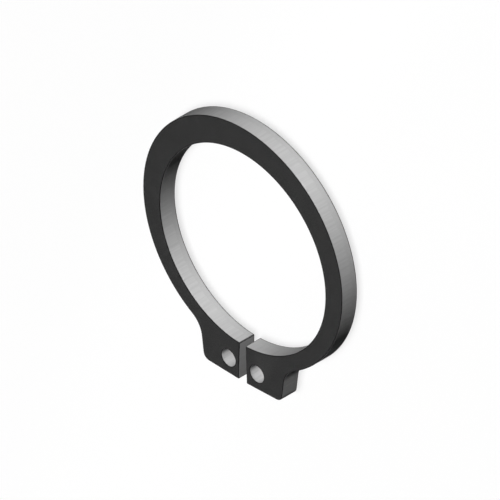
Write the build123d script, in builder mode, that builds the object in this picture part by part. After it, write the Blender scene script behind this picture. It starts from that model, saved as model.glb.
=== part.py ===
"""External retaining ring, punched in one piece from flat spring steel, for a 24 mm shaft.

The ring lies flat on its lower face. The origin is the centre of the bore on that face,
+Z runs along the bore, and the two plier lugs with the gap between them lie towards -Y.
"""

import os
from math import asin, degrees, radians, tan

from build123d import *

# Driving dimensions, in millimetres and, for the draft, in degrees
bore_diameter = 22.0       # free size, before the ring is spread over its shaft
thickness = 2.0            # of the strip that the ring is punched from
band_opposite_gap = 3.0    # radial width of the band at its widest
band_beside_gap = 1.6      # radial width of the band where it would close at the gap
gap_at_bore = 0.75         # width of the gap where it opens into the bore
lug_height = 4.26          # from the bore to the end of a lug, along the gap
lug_end_width = 4.65       # across the end of a lug, before its corner is rounded
lug_draft = 9.5            # angle by which the outer side of a lug leans to the gap
lug_corner_radius = 0.8    # outer corner at the end of a lug
lug_root_radius = 2.6      # hollow curve from the band into a lug
hole_diameter = 1.8        # plier hole
hole_from_gap = 1.43       # centre of a plier hole to the gap side of its lug
hole_from_end = 1.73       # centre of a plier hole to the end of its lug
roll_radius = 0.1          # upper rims and gap corners, rolled round by the punch
burr_break = 0.05          # lower rims, where the punch leaves a burr that is tumbled off

# Sizes that follow from them
bore_radius = bore_diameter / 2
outer_radius = bore_radius + (band_opposite_gap + band_beside_gap) / 2
outer_offset = (band_opposite_gap - band_beside_gap) / 2
lug_reach = bore_radius + lug_height
lug_width_at_bore_axis = lug_end_width + lug_reach * tan(radians(lug_draft))
gap_half_angle = degrees(asin(gap_at_bore / 2 / bore_radius))
gap_cut_length = lug_reach + lug_height
gap_cut_half_width = gap_cut_length * tan(radians(gap_half_angle))
hole_centre = Vector(hole_from_gap, hole_from_end - lug_reach).rotate(Axis.Z, gap_half_angle)
rolled_edge = min(roll_radius, thickness / 4, gap_at_bore / 4)
broken_edge = min(burr_break, thickness / 4, gap_at_bore / 4)


with BuildPart() as retaining_ring:
    with BuildSketch() as blank:
        # A lug stands square to its own side of the gap. Drawn from the bore's axis, it
        # reaches a little way into the gap, which is cut last.
        Polygon(
            (-gap_at_bore / 2, 0),
            (-gap_at_bore / 2, -lug_reach),
            (lug_end_width, -lug_reach),
            (lug_width_at_bore_axis, 0),
            rotation=gap_half_angle,
            align=None,
        )
        mirror(about=Plane.YZ)

        # The outer circle stands off the centre of the bore, so that the band tapers
        # from its widest point to the lugs and keeps round when it is spread.
        with Locations(Location((0, outer_offset, 0), (0, 0, -90))):
            Circle(outer_radius)

        # The band flows into a lug where the lug's side leaves the outer circle.
        roots = blank.vertices().sort_by(Axis.X)
        fillet([roots[0], roots[-1]], lug_root_radius)
        end_corners = blank.vertices().sort_by(Axis.Y)[:4].sort_by(Axis.X)
        fillet([end_corners[0], end_corners[-1]], lug_corner_radius)

        with Locations(Location((0, 0, 0), (0, 0, -90))):
            Circle(bore_radius, mode=Mode.SUBTRACT)

        # Both sides of the gap point at the axis of the bore.
        Polygon(
            (0, 0),
            (-gap_cut_half_width, -gap_cut_length),
            (gap_cut_half_width, -gap_cut_length),
            align=None,
            mode=Mode.SUBTRACT,
        )
    extrude(amount=thickness)

    # One hole through each lug, for the tips of the pliers
    with Locations(
        (hole_centre.X, hole_centre.Y, thickness),
        (-hole_centre.X, hole_centre.Y, thickness),
    ):
        Hole(hole_diameter / 2)

    # The punch enters at the upper face and draws its rims round, with the four upright
    # corners of the gap. It leaves at the lower face, whose rims keep almost sharp.
    gap_corners = retaining_ring.edges().filter_by(Axis.Z).sort_by(lambda edge: abs(edge.center().X))[:4]
    upper_face = retaining_ring.faces().sort_by(Axis.Z)[-1]
    fillet(upper_face.edges() + gap_corners, rolled_edge)
    lower_face = retaining_ring.faces().sort_by(Axis.Z)[0]
    chamfer(lower_face.edges(), broken_edge)

retaining_ring.part.label = "retaining_ring"

os.makedirs("parts", exist_ok=True)
export_step(retaining_ring.part, "parts/retaining_ring.step")
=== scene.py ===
"""Looks of an external retaining ring punched from strip: dark phosphated faces, bright sheared sides. Their
two tones are partly that finish and partly painted shade on the faces and painted light on the sides.

The ring lies flat on a pale studio floor. The camera looks down on it along the direction of
the drawing, without perspective, and is rolled so that the lugs point down in the picture.
"""

from math import asin, atan2, cos, pi, radians, sin, sqrt, tan

import bmesh
import bpy
from mathutils import Matrix, Vector
from mathutils.geometry import tessellate_polygon


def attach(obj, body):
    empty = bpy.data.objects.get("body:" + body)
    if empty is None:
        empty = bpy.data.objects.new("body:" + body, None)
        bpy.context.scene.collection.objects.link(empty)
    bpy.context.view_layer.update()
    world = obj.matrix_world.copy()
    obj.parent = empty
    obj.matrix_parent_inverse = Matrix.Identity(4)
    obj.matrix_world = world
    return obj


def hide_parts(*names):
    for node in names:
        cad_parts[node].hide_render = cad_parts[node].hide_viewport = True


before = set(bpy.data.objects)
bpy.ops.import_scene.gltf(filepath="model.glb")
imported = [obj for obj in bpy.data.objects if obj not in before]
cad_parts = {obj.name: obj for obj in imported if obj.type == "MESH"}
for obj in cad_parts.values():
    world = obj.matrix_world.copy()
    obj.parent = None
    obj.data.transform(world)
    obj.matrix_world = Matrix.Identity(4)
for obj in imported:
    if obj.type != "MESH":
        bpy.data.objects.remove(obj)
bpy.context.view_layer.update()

# Lengths are in millimetres where nothing else is said. The scene itself is in metres.
MM = 0.001

# The ring's own sizes, in millimetres, and the lug's draft in degrees
BORE_RADIUS = 11.0
THICKNESS = 2.0
BAND_OPPOSITE_GAP = 3.0
BAND_BESIDE_GAP = 1.6
GAP_AT_BORE = 0.75
LUG_HEIGHT = 4.26
LUG_END_WIDTH = 4.65
LUG_DRAFT = 9.5
LUG_CORNER_RADIUS = 0.8
LUG_ROOT_RADIUS = 2.6
HOLE_RADIUS = 0.9
HOLE_FROM_GAP = 1.43
HOLE_FROM_END = 1.73
ROLL_RADIUS = 0.1
BURR_BREAK = 0.05

OUTER_RADIUS = BORE_RADIUS + (BAND_OPPOSITE_GAP + BAND_BESIDE_GAP) / 2
OUTER_OFFSET = (BAND_OPPOSITE_GAP - BAND_BESIDE_GAP) / 2
LUG_REACH = BORE_RADIUS + LUG_HEIGHT
GAP_HALF_ANGLE = asin(GAP_AT_BORE / 2 / BORE_RADIUS)

# How finely the outline and the height of the sides are divided
POINT_SPACING = 0.22
ARC_STEP = radians(10)
SIDE_ROWS = 8

# Rows of a rolled rim: the angle in degrees, from the upper face to the side, and how dark it is
ROLLED_ROWS = ((0, 0), (5, 1), (20, 1), (35, 1), (48, 1), (60, 0.5), (75, 0), (90, 0))

# The dark line along a lower rim: how far it comes up the side, and the width of its soft edge
RIM_LINE = 0.04
RIM_FADE = 0.03

# How much painted shade darkens the sides of the narrow gap, and how dark their rolled corners at either end
# are
GAP_PAINTED_SHADE = 0.35
BORE_CORNER_DARK = 0.85
END_CORNER_DARK = 1.0

# The angle from a gap side to the centre of its rolled corner at the bore, seen from the bore's axis
CORNER_LEAN = asin(ROLL_RADIUS / (BORE_RADIUS + ROLL_RADIUS))

# Points nearer to each other than this are one point
SAME_POINT = 1e-4

# Faces that meet at more than this angle keep a sharp edge between them
SHARP_ANGLE = radians(30)

# The two values that each vertex of the ring carries: how much of it is sheared side, and dark rim, which
# also carries the dark corners and the painted shade on the gap sides
SIDE_VALUE = "sheared_side"
RIM_AND_SHADE_VALUE = "dark_rim_and_gap_shade"

# The map through which the material can be baked. The two faces lie side by side,
# and the sides above them as straight strips, in which every row of faces is equally high.
MAP_NAME = "OFBake"
MAP_MARGIN = 0.006
MAP_SCALE = (1 - 3 * MAP_MARGIN) / (4 * OUTER_RADIUS)
MAP_STRIPS = 4
STRIP_PITCH = (1 - 2 * MAP_MARGIN - (LUG_REACH + OUTER_RADIUS + OUTER_OFFSET) * MAP_SCALE) / MAP_STRIPS

# Shorter stretches of the outline are drawn this long there, which keeps the dark corners sharp
LEAST_MAPPED = 0.1

# How light the steel is, from 0 to 1. Two values are its darkest and its lightest patches.
# The dark coat is partly painted shade on the faces, and the light sides partly painted light: lit and
# shaded tones of one grey, over a real two-tone finish.
COAT_AND_SHADE = (0.0135, 0.0172)
CRYSTALS = 0.033
TUMBLING_MARKS = 0.06
SMOOTH_SIDE = (0.395, 0.445)
BROKEN_SIDE = (0.37, 0.44)
DARK_RIM = (0.006, 0.012)

# Directions of the marks that tumbling leaves on the faces, in radians
MARK_TURNS = (0.4, 1.5, 2.6)

# Heights in millimetres at which the broken lower part of a side ends and the smooth part starts.
# A wave pulls both of them down by up to BREAK_WAVE.
BREAK_HEIGHTS = (1.04, 1.10)
BREAK_WAVE = 0.8

# The floor: how light it is, the share of it that glows by itself and takes no shadow, how light
# it is in bounced light, and half its length in metres
FLOOR_LEVEL = 0.98
FLOOR_GLOW = 0.7
FLOOR_IN_BOUNCED_LIGHT = 0.02
FLOOR_HALF_LENGTH = 1.0

# Sockets of a Mix node that mixes colours
MIX_FACTOR, MIX_FIRST, MIX_SECOND, MIX_RESULT = 0, 6, 7, 2


def arc_points(centre, radius, start, end, hollow=False, dark=0.0):
    """Points of an arc: place, the normal that points out of the metal, and how dark the corner is.

    The metal of a hollow arc lies outside it.
    """
    steps = max(2, int(abs(end - start) / min(ARC_STEP, POINT_SPACING / radius)))
    points = []
    for step in range(steps + 1):
        angle = start + (end - start) * step / steps
        ray = Vector((cos(angle), sin(angle)))
        points.append((centre + radius * ray, -ray if hollow else ray, dark))
    return points


def line_points(start, end, normal, dark=0.0):
    """Points of a straight side, with both of its ends."""
    steps = max(1, int((end - start).length / POINT_SPACING))
    return [(start.lerp(end, step / steps), normal, dark) for step in range(steps + 1)]


def lug_points():
    """The right lug, from the bore down the gap side, across the end and up to the band.

    It is drawn with its gap side upright on x = 0, and then turned to its place. The second
    value is the direction, seen from the band's centre, in which the lug's root ends.
    """
    draft = radians(LUG_DRAFT)
    side_up = Vector((sin(draft), cos(draft)))
    side_out = Vector((cos(draft), -sin(draft)))
    bore_corner = (BORE_RADIUS + ROLL_RADIUS) * Vector((sin(CORNER_LEAN), -cos(CORNER_LEAN)))
    gap_corner = Vector((ROLL_RADIUS, ROLL_RADIUS - LUG_REACH))
    corner_cut = LUG_CORNER_RADIUS / tan((pi / 2 + draft) / 2)
    end_corner = Vector((LUG_END_WIDTH - corner_cut, LUG_CORNER_RADIUS - LUG_REACH))

    # The root's centre is as far off the lug's side as off the band's outer circle.
    band_centre = OUTER_OFFSET * Vector((sin(GAP_HALF_ANGLE), cos(GAP_HALF_ANGLE)))
    side_foot = Vector((LUG_END_WIDTH, -LUG_REACH))
    start = side_foot + LUG_ROOT_RADIUS * side_out - band_centre
    reach = OUTER_RADIUS + LUG_ROOT_RADIUS
    climb = -start.dot(side_up) - sqrt(start.dot(side_up) ** 2 - start.length_squared + reach**2)
    root = band_centre + start + climb * side_up
    to_root = root - band_centre
    root_direction = atan2(to_root.y, to_root.x)

    to_gap, to_end = Vector((-1, 0)), Vector((0, -1))
    points = arc_points(bore_corner, ROLL_RADIUS, pi / 2 + CORNER_LEAN, pi, dark=BORE_CORNER_DARK)
    # The gap side is darkened with painted shade.
    points += line_points(Vector((0, bore_corner.y)), Vector((0, gap_corner.y)), to_gap, dark=GAP_PAINTED_SHADE)
    points += arc_points(gap_corner, ROLL_RADIUS, pi, 3 * pi / 2, dark=END_CORNER_DARK)
    points += line_points(Vector((ROLL_RADIUS, -LUG_REACH)), Vector((end_corner.x, -LUG_REACH)), to_end)
    points += arc_points(end_corner, LUG_CORNER_RADIUS, -pi / 2, -draft)
    side_start = end_corner + LUG_CORNER_RADIUS * side_out
    points += line_points(side_start, root - LUG_ROOT_RADIUS * side_out, side_out)
    points += arc_points(root, LUG_ROOT_RADIUS, pi - draft, root_direction + pi, hollow=True)
    turn = Matrix.Rotation(GAP_HALF_ANGLE, 2)
    points = [(turn @ point, turn @ normal, dark) for point, normal, dark in points]
    return points, root_direction + GAP_HALF_ANGLE


def ring_outline():
    """The whole C-shaped outline as one closed loop, with the metal on its left-hand side."""
    lug, root_direction = lug_points()
    bore_end = -pi / 2 + CORNER_LEAN + GAP_HALF_ANGLE
    bore = arc_points(Vector((0, 0)), BORE_RADIUS, pi / 2, bore_end, hollow=True)
    band = arc_points(Vector((0, OUTER_OFFSET)), OUTER_RADIUS, root_direction, pi / 2)
    right = bore + lug + band
    left = [(Vector((-p.x, p.y)), Vector((-n.x, n.y)), dark) for p, n, dark in reversed(right)]
    loop = []
    for point, normal, dark in right + left:
        if loop and (point - loop[-1][0]).length < SAME_POINT:
            loop[-1] = (*loop[-1][:2], max(dark, loop[-1][2]))
        else:
            loop.append((point, normal, dark))
    if (loop[0][0] - loop[-1][0]).length < SAME_POINT:
        loop.pop()
    return with_soft_marks(loop)


def with_soft_marks(loop):
    """The loop with one more point beside each dark corner, so that its line ends close to it."""
    points = []
    for here, after in zip(loop, loop[1:] + loop[:1]):
        points.append(here)
        if here[2] != after[2]:
            marked, plain = sorted((here, after), key=lambda entry: -entry[2])
            share = RIM_FADE / (plain[0] - marked[0]).length
            normal = marked[1].lerp(plain[1], share).normalized()
            points.append((marked[0].lerp(plain[0], share), normal, plain[2]))
    return points


def hole_outline(side):
    """One plier hole, run the other way round, because its metal lies outside it."""
    centre = Matrix.Rotation(GAP_HALF_ANGLE, 2) @ Vector((HOLE_FROM_GAP, HOLE_FROM_END - LUG_REACH))
    centre.x *= side
    return arc_points(centre, HOLE_RADIUS, 2 * pi, 0, hollow=True)[:-1]


def section_rows():
    """The section of a rim, from the upper face down to the lower one.

    Each row has its inset from the outline, its height, and two weights: how much of it is
    sheared side, and how much is dark rim.
    """
    rows = []
    for angle, dark in ROLLED_ROWS:
        a = radians(angle)
        rows.append((ROLL_RADIUS * (1 - sin(a)), THICKNESS - ROLL_RADIUS * (1 - cos(a)), sin(a), dark))
    top = THICKNESS - ROLL_RADIUS
    bottom = BURR_BREAK + RIM_LINE + RIM_FADE
    for step in range(1, SIDE_ROWS + 1):
        rows.append((0, top + (bottom - top) * step / SIDE_ROWS, 1, 0))
    rows.append((0, BURR_BREAK + RIM_LINE, 1, 1))
    rows.append((0, BURR_BREAK, 1, 1))
    rows.append((BURR_BREAK, 0, 0, 1))
    rows.append((BURR_BREAK + RIM_FADE, 0, 0, 0))
    return rows


def mapped_stretches(loops):
    """Where each stretch of the outlines lies on the map: its strip, and its two ends along it."""
    strip, at = 0, MAP_MARGIN
    mapped = []
    for loop in loops:
        stretches = []
        for here, after in zip(loop, loop[1:] + loop[:1]):
            length = max((after[0] - here[0]).length, LEAST_MAPPED) * MAP_SCALE
            if at + length > 1 - MAP_MARGIN:
                strip, at = strip + 1, MAP_MARGIN
            stretches.append((strip, at, at + length))
            at += length
        mapped.append(stretches)
        at += MAP_MARGIN
    return mapped


def add_wall(bm, loop, rows, stretches, layers):
    """The band of faces round one outline. Gives back its uppermost and lowest rows of vertices."""
    side_layer, rim_and_shade_layer, map_layer = layers
    grid = []
    for inset, height, side_weight, rim_weight in rows:
        ring = []
        for point, normal, dark in loop:
            place = point - inset * normal
            spot = Vector((place.x, place.y, height)) * MM
            if ring and (ring[-1].co - spot).length < SAME_POINT * MM:
                ring.append(ring[-1])
                continue
            vertex = bm.verts.new(spot)
            vertex[side_layer] = side_weight
            # The dark weight adds the dark corners, and the painted shade on the gap sides.
            vertex[rim_and_shade_layer] = max(rim_weight, dark * side_weight)
            ring.append(vertex)
        grid.append(ring)
    row_height = (STRIP_PITCH - MAP_MARGIN) / (len(rows) - 1)
    for row, (upper, lower) in enumerate(zip(grid, grid[1:])):
        for i, (strip, start, end) in enumerate(stretches):
            after = (i + 1) % len(stretches)
            top = 1 - MAP_MARGIN - strip * STRIP_PITCH - row * row_height
            corners = {upper[i]: (start, top)}
            corners.setdefault(lower[i], (start, top - row_height))
            corners.setdefault(lower[after], (end, top - row_height))
            corners.setdefault(upper[after], (end, top))

            # Where points have run together, a face has three corners or is left out.
            if len(corners) > 2:
                face = bm.faces.new(corners)
                face.smooth = True
                for corner in face.loops:
                    corner[map_layer].uv = corners[corner.vert]
    return grid[0], grid[-1]


def add_cap(bm, rings, side, map_layer):
    """A flat face inside the first ring of vertices and outside the others.

    The side is 1 for the upper face and -1 for the lower one, which the map shows from below.
    """
    loops = [list(dict.fromkeys(ring)) for ring in rings]
    vertices = [vertex for loop in loops for vertex in loop]
    corners = tessellate_polygon([[vertex.co for vertex in loop] for loop in loops])
    triangles = [bm.faces.new([vertices[i] for i in triangle]) for triangle in corners]

    # Turning the edges between them keeps thin triangles off the straight stretches of the outline.
    edges = dict.fromkeys(edge for triangle in triangles for edge in triangle.edges)
    inner = [edge for edge in edges if all(face in triangles for face in edge.link_faces)]
    bmesh.ops.beautify_fill(bm, faces=triangles, edges=inner)

    left = MAP_MARGIN if side == 1 else 2 * MAP_MARGIN + 2 * OUTER_RADIUS * MAP_SCALE
    own = set(vertices)
    for face in bm.faces:
        if own.issuperset(face.verts):
            for corner in face.loops:
                across, along, _ = corner.vert.co / MM
                corner[map_layer].uv = (
                    left + (OUTER_RADIUS + side * across) * MAP_SCALE,
                    MAP_MARGIN + (LUG_REACH + along) * MAP_SCALE,
                )


def ring_mesh():
    """The ring's mesh, with how much of it is sheared side and dark rim, with the dark corners and the
    painted shade on the gap sides, kept on its vertices.
    """
    bm = bmesh.new()
    map_layer = bm.loops.layers.uv.new(MAP_NAME)
    layers = (bm.verts.layers.float.new(SIDE_VALUE), bm.verts.layers.float.new(RIM_AND_SHADE_VALUE), map_layer)
    rows = section_rows()
    loops = [ring_outline(), hole_outline(1), hole_outline(-1)]
    uppermost, lowest = [], []
    for loop, stretches in zip(loops, mapped_stretches(loops)):
        upper, lower = add_wall(bm, loop, rows, stretches, layers)
        uppermost.append(upper)
        lowest.append(lower)
    add_cap(bm, uppermost, 1, map_layer)
    add_cap(bm, lowest, -1, map_layer)
    bmesh.ops.recalc_face_normals(bm, faces=bm.faces)
    for edge in bm.edges:
        if len(edge.link_faces) == 2 and edge.calc_face_angle() > SHARP_ANGLE:
            edge.smooth = False
    mesh = bpy.data.meshes.new("retaining_ring_steel")
    bm.to_mesh(mesh)
    bm.free()
    return mesh


def new_material(name):
    """A material without nodes, and its node tree."""
    material = bpy.data.materials.new(name)
    material.use_nodes = True
    material.node_tree.nodes.clear()
    return material, material.node_tree


def node(tree, kind, inputs=(), **settings):
    """A shader node with its settings and its input values or links."""
    made = tree.nodes.new(kind)
    for name, value in settings.items():
        setattr(made, name, value)
    for name, value in dict(inputs).items():
        socket = made.inputs[name]
        if isinstance(value, bpy.types.NodeSocket):
            tree.links.new(value, socket)
        else:
            socket.default_value = value
    return made


def mixed(tree, factor, low, high):
    """One colour or the other, by a factor."""
    inputs = {MIX_FACTOR: factor, MIX_FIRST: low, MIX_SECOND: high}
    return node(tree, "ShaderNodeMix", inputs, data_type="RGBA").outputs[MIX_RESULT]


def ranged(tree, value, low, high, to_low=0.0, to_high=1.0):
    """A value's range from low to high, stretched to another one, which it doesn't leave."""
    made = node(tree, "ShaderNodeMapRange", {
        "Value": value, "From Min": low, "From Max": high, "To Min": to_low, "To Max": to_high,
    })
    return made.outputs["Result"]


def grey(level):
    """A grey colour."""
    return (level, level, level, 1.0)


def noise(tree, place, scale, detail, roughness=0.5):
    """Soft noise from 0 to 1, with about as many waves to the metre as its scale."""
    made = node(tree, "ShaderNodeTexNoise", {
        "Vector": place, "Scale": scale, "Detail": detail, "Roughness": roughness,
    })
    return made.outputs["Fac"]


def stretched(tree, place, lengths, turn=0.0):
    """Coordinates in which a noise is longer along the axes, after a turn about the bore's axis."""
    made = node(tree, "ShaderNodeMapping", {"Vector": place, "Rotation": (0, 0, turn), "Scale": lengths},
                vector_type="TEXTURE")
    return made.outputs["Vector"]


def calculated(tree, operation, first, second):
    """The result of one operation on two values."""
    return node(tree, "ShaderNodeMath", {0: first, 1: second}, operation=operation).outputs[0]


def seen_by_camera(tree):
    """1 for what the camera sees, also in a reflection or through something clear, and 0 for other rays."""
    ray = node(tree, "ShaderNodeLightPath").outputs
    mirrored = calculated(tree, "MAXIMUM", ray["Is Camera Ray"], ray["Is Glossy Ray"])
    return calculated(tree, "MAXIMUM", mirrored, ray["Is Transmission Ray"])


def steel_material():
    """Dark phosphate on the faces, bright sheared steel on the sides, and dark rims between them. The faces'
    dark tone is partly painted shade, the sides' light tone partly painted light, and the gap sides carry
    painted shade.
    """
    material, tree = new_material("phosphated_spring_steel")
    place = node(tree, "ShaderNodeTexCoord").outputs["Object"]
    height = node(tree, "ShaderNodeSeparateXYZ", {0: place}).outputs["Z"]
    side = node(tree, "ShaderNodeAttribute", attribute_name=SIDE_VALUE).outputs["Fac"]
    rim = node(tree, "ShaderNodeAttribute", attribute_name=RIM_AND_SHADE_VALUE).outputs["Fac"]

    # Faces: a fine crystalline coat, slightly uneven, with a few hair-fine marks from tumbling. Its dark
    # tone is partly painted shade.
    mottle = noise(tree, place, scale=700.0, detail=4.0)
    grain = noise(tree, place, scale=9000.0, detail=6.0, roughness=0.7)
    coat_and_shade = mixed(tree, ranged(tree, mottle, low=0.35, high=0.65), grey(COAT_AND_SHADE[0]), grey(COAT_AND_SHADE[1]))
    coat_and_shade = mixed(tree, ranged(tree, grain, low=0.35, high=0.7), coat_and_shade, grey(CRYSTALS))
    for turn in MARK_TURNS:
        lines = noise(tree, stretched(tree, place, (1.0, 25.0, 1.0), turn), scale=5000.0, detail=1.0)
        marks = ranged(tree, lines, low=0.74, high=0.80, to_high=0.4)
        coat_and_shade = mixed(tree, marks, coat_and_shade, grey(TUMBLING_MARKS))

    # Sides: streaks along the punch's travel, over a duller grainy band where the metal broke away. Their
    # light tone is partly painted light.
    streaks_place = stretched(tree, place, (1.0, 1.0, 50.0))
    waves_place = stretched(tree, place, (1.0, 1.0, 10.0))
    streaks = noise(tree, streaks_place, scale=5000.0, detail=8.0, roughness=0.6)
    waves = noise(tree, waves_place, scale=800.0, detail=8.0, roughness=0.6)
    crumbs = noise(tree, place, scale=12000.0, detail=6.0, roughness=0.7)
    waved_height = calculated(tree, "ADD", height, calculated(tree, "MULTIPLY", waves, BREAK_WAVE * MM))
    broken = ranged(tree, waved_height, low=BREAK_HEIGHTS[1] * MM, high=BREAK_HEIGHTS[0] * MM)
    streaked = ranged(tree, streaks, low=0.35, high=0.65)
    smooth_side = mixed(tree, streaked, grey(SMOOTH_SIDE[0]), grey(SMOOTH_SIDE[1]))
    crumbled = ranged(tree, crumbs, low=0.3, high=0.7)
    broken_side = mixed(tree, crumbled, grey(BROKEN_SIDE[0]), grey(BROKEN_SIDE[1]))
    sheared = mixed(tree, broken, smooth_side, broken_side)

    colour = mixed(tree, side, coat_and_shade, sheared)
    # Dark rims and corners, and the painted shade on the gap sides, which the rim weight also carries
    dark = mixed(tree, ranged(tree, streaks, low=0.3, high=0.7), grey(DARK_RIM[0]), grey(DARK_RIM[1]))
    colour = mixed(tree, rim, colour, dark)

    relief = mixed(tree, side, grain, mixed(tree, broken, streaks, crumbs))
    bump = node(tree, "ShaderNodeBump", {"Height": relief, "Strength": 0.6, "Distance": 0.00004})
    shader = node(tree, "ShaderNodeBsdfPrincipled", {
        "Base Color": colour,
        "Roughness": ranged(tree, side, low=0.0, high=1.0, to_low=0.75, to_high=0.9),
        "Specular IOR Level": 0.02,
        "Normal": bump.outputs["Normal"],
    })
    node(tree, "ShaderNodeOutputMaterial", {"Surface": shader.outputs[0]})
    return material


def floor_material():
    """Pale to the camera and in reflections, where it keeps part of the shadow, and dim in bounced light."""
    material, tree = new_material("studio_floor")
    lit = node(tree, "ShaderNodeBsdfDiffuse", {"Color": grey(FLOOR_LEVEL)})
    glow = node(tree, "ShaderNodeEmission", {"Color": grey(1.0), "Strength": 1.0})
    pale = node(tree, "ShaderNodeMixShader", {0: FLOOR_GLOW, 1: lit.outputs[0], 2: glow.outputs[0]})
    dim = node(tree, "ShaderNodeBsdfDiffuse", {"Color": grey(FLOOR_IN_BOUNCED_LIGHT)})
    seen = seen_by_camera(tree)
    shown = node(tree, "ShaderNodeMixShader", {0: seen, 1: dim.outputs[0], 2: pale.outputs[0]})
    node(tree, "ShaderNodeOutputMaterial", {"Surface": shown.outputs[0]})
    return material


def add_floor():
    """One flat square under the ring."""
    half = FLOOR_HALF_LENGTH
    mesh = bpy.data.meshes.new("floor")
    corners = [(-half, -half, 0), (half, -half, 0), (half, half, 0), (-half, half, 0)]
    mesh.from_pydata(corners, [], [(0, 1, 2, 3)])
    mesh.materials.append(floor_material())
    floor = bpy.data.objects.new("floor", mesh)
    bpy.context.scene.collection.objects.link(floor)


def place_lamp(lamp, azimuth, elevation, distance=0.0, aim=(0, 0)):
    """Points a lamp at a place on the ring, given in millimetres at half its height.

    Azimuth runs from +X towards +Y, and says where the light comes from. The light doesn't
    bounce, so the sides of the holes and the gap don't light each other.
    """
    lamp.cycles.max_bounces = 0
    lamp_object = bpy.data.objects.new(lamp.name, lamp)
    a, e = radians(azimuth), radians(elevation)
    towards = Vector((cos(a) * cos(e), sin(a) * cos(e), sin(e)))
    lamp_object.rotation_mode = "QUATERNION"
    lamp_object.rotation_quaternion = towards.to_track_quat("Z", "Y")
    lamp_object.location = Vector((*aim, THICKNESS / 2)) * MM + distance * towards
    bpy.context.scene.collection.objects.link(lamp_object)


def add_sun(name, azimuth, elevation, level, angle, shadow=True):
    """A soft distant lamp. At level 1, a surface square to it renders in its own colour."""
    lamp = bpy.data.lights.new(name, "SUN")
    lamp.energy = level * pi
    lamp.angle = radians(angle)
    lamp.use_shadow = shadow
    place_lamp(lamp, azimuth, elevation)


def add_softbox(name, azimuth, elevation, level, beam, aim, distance=1.0, size=0.004):
    """A softbox behind a grid, whose light fades out at the beam's radius round its middle.

    At level 1, a surface square to it at its aim renders in its own colour. It casts no shadow,
    so it fills the holes and the gap as the drawing's light does. A spot lamp can't be narrower
    than one degree, so a narrower beam than that comes from nearby. The beam's radius, the
    distance and the softbox's own size are in metres.
    """
    lamp = bpy.data.lights.new(name, "SPOT")
    lamp.energy = level * 4 * pi**2 * distance**2
    lamp.shadow_soft_size = size
    lamp.spot_size = 2 * atan2(beam, distance)
    lamp.spot_blend = 1.0
    lamp.use_shadow = False
    place_lamp(lamp, azimuth, elevation, distance, aim)


def add_world(ambient):
    """Even light from all sides, and a pale backdrop to the camera and in reflections."""
    world = bpy.data.worlds.new("studio")
    world.use_nodes = True
    tree = world.node_tree
    tree.nodes.clear()
    strength = ranged(tree, seen_by_camera(tree), low=0.0, high=1.0, to_low=ambient)
    light = node(tree, "ShaderNodeBackground", {"Color": grey(1.0), "Strength": strength})
    node(tree, "ShaderNodeOutputWorld", {"Surface": light.outputs[0]})
    bpy.context.scene.world = world


def add_camera():
    """The drawing's view: along (-1, -1, -1) without perspective, with +Y upwards in the picture."""
    pixels_per_mm = 10.601
    picture = 500
    bore_centre_at = (242.53, 249.42)
    distance = 0.25
    right = Vector((1, 0, -1)).normalized()
    up = Vector((-1, 2, -1)).normalized()
    back = Vector((1, 1, 1)).normalized()
    middle = picture / 2
    aim = Vector((0, 0, THICKNESS))
    aim += right * (middle - bore_centre_at[0]) / pixels_per_mm
    aim += up * (bore_centre_at[1] - middle) / pixels_per_mm
    camera = bpy.data.cameras.new("camera")
    camera.type = "ORTHO"
    camera.ortho_scale = picture / pixels_per_mm * MM
    camera.clip_start = 0.01
    camera.clip_end = 2.0
    camera_object = bpy.data.objects.new("camera", camera)
    turn = Matrix((right, up, back)).transposed().to_4x4()
    camera_object.matrix_world = Matrix.Translation(aim * MM + back * distance) @ turn
    bpy.context.scene.collection.objects.link(camera_object)
    bpy.context.scene.camera = camera_object


ring = bpy.data.objects.new("retaining_ring_steel", ring_mesh())
ring.data.materials.append(steel_material())
bpy.context.scene.collection.objects.link(ring)
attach(ring, "root")
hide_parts("retaining_ring")

add_floor()
add_softbox("key_light", azimuth=67, elevation=2, level=0.66, beam=0.0336, aim=(13.8, -5.9))
add_softbox("middle_light", azimuth=66, elevation=2, level=0.65, beam=0.0127, aim=(-2.5, 1.1))
add_softbox("side_light", azimuth=39, elevation=2, level=0.21, beam=0.0087, aim=(0.9, -1.1))
add_softbox(
    "hole_light", azimuth=62, elevation=36, level=0.55, beam=0.0016, aim=(1.9, -13.5),
    distance=0.18, size=0.0001,
)
add_sun("fill_light", azimuth=225, elevation=8, level=0.8, angle=10, shadow=False)
add_sun("top_light", azimuth=225, elevation=72, level=0.9, angle=30)
add_world(ambient=0.01)
add_camera()
bpy.context.scene.view_settings.view_transform = "Standard"
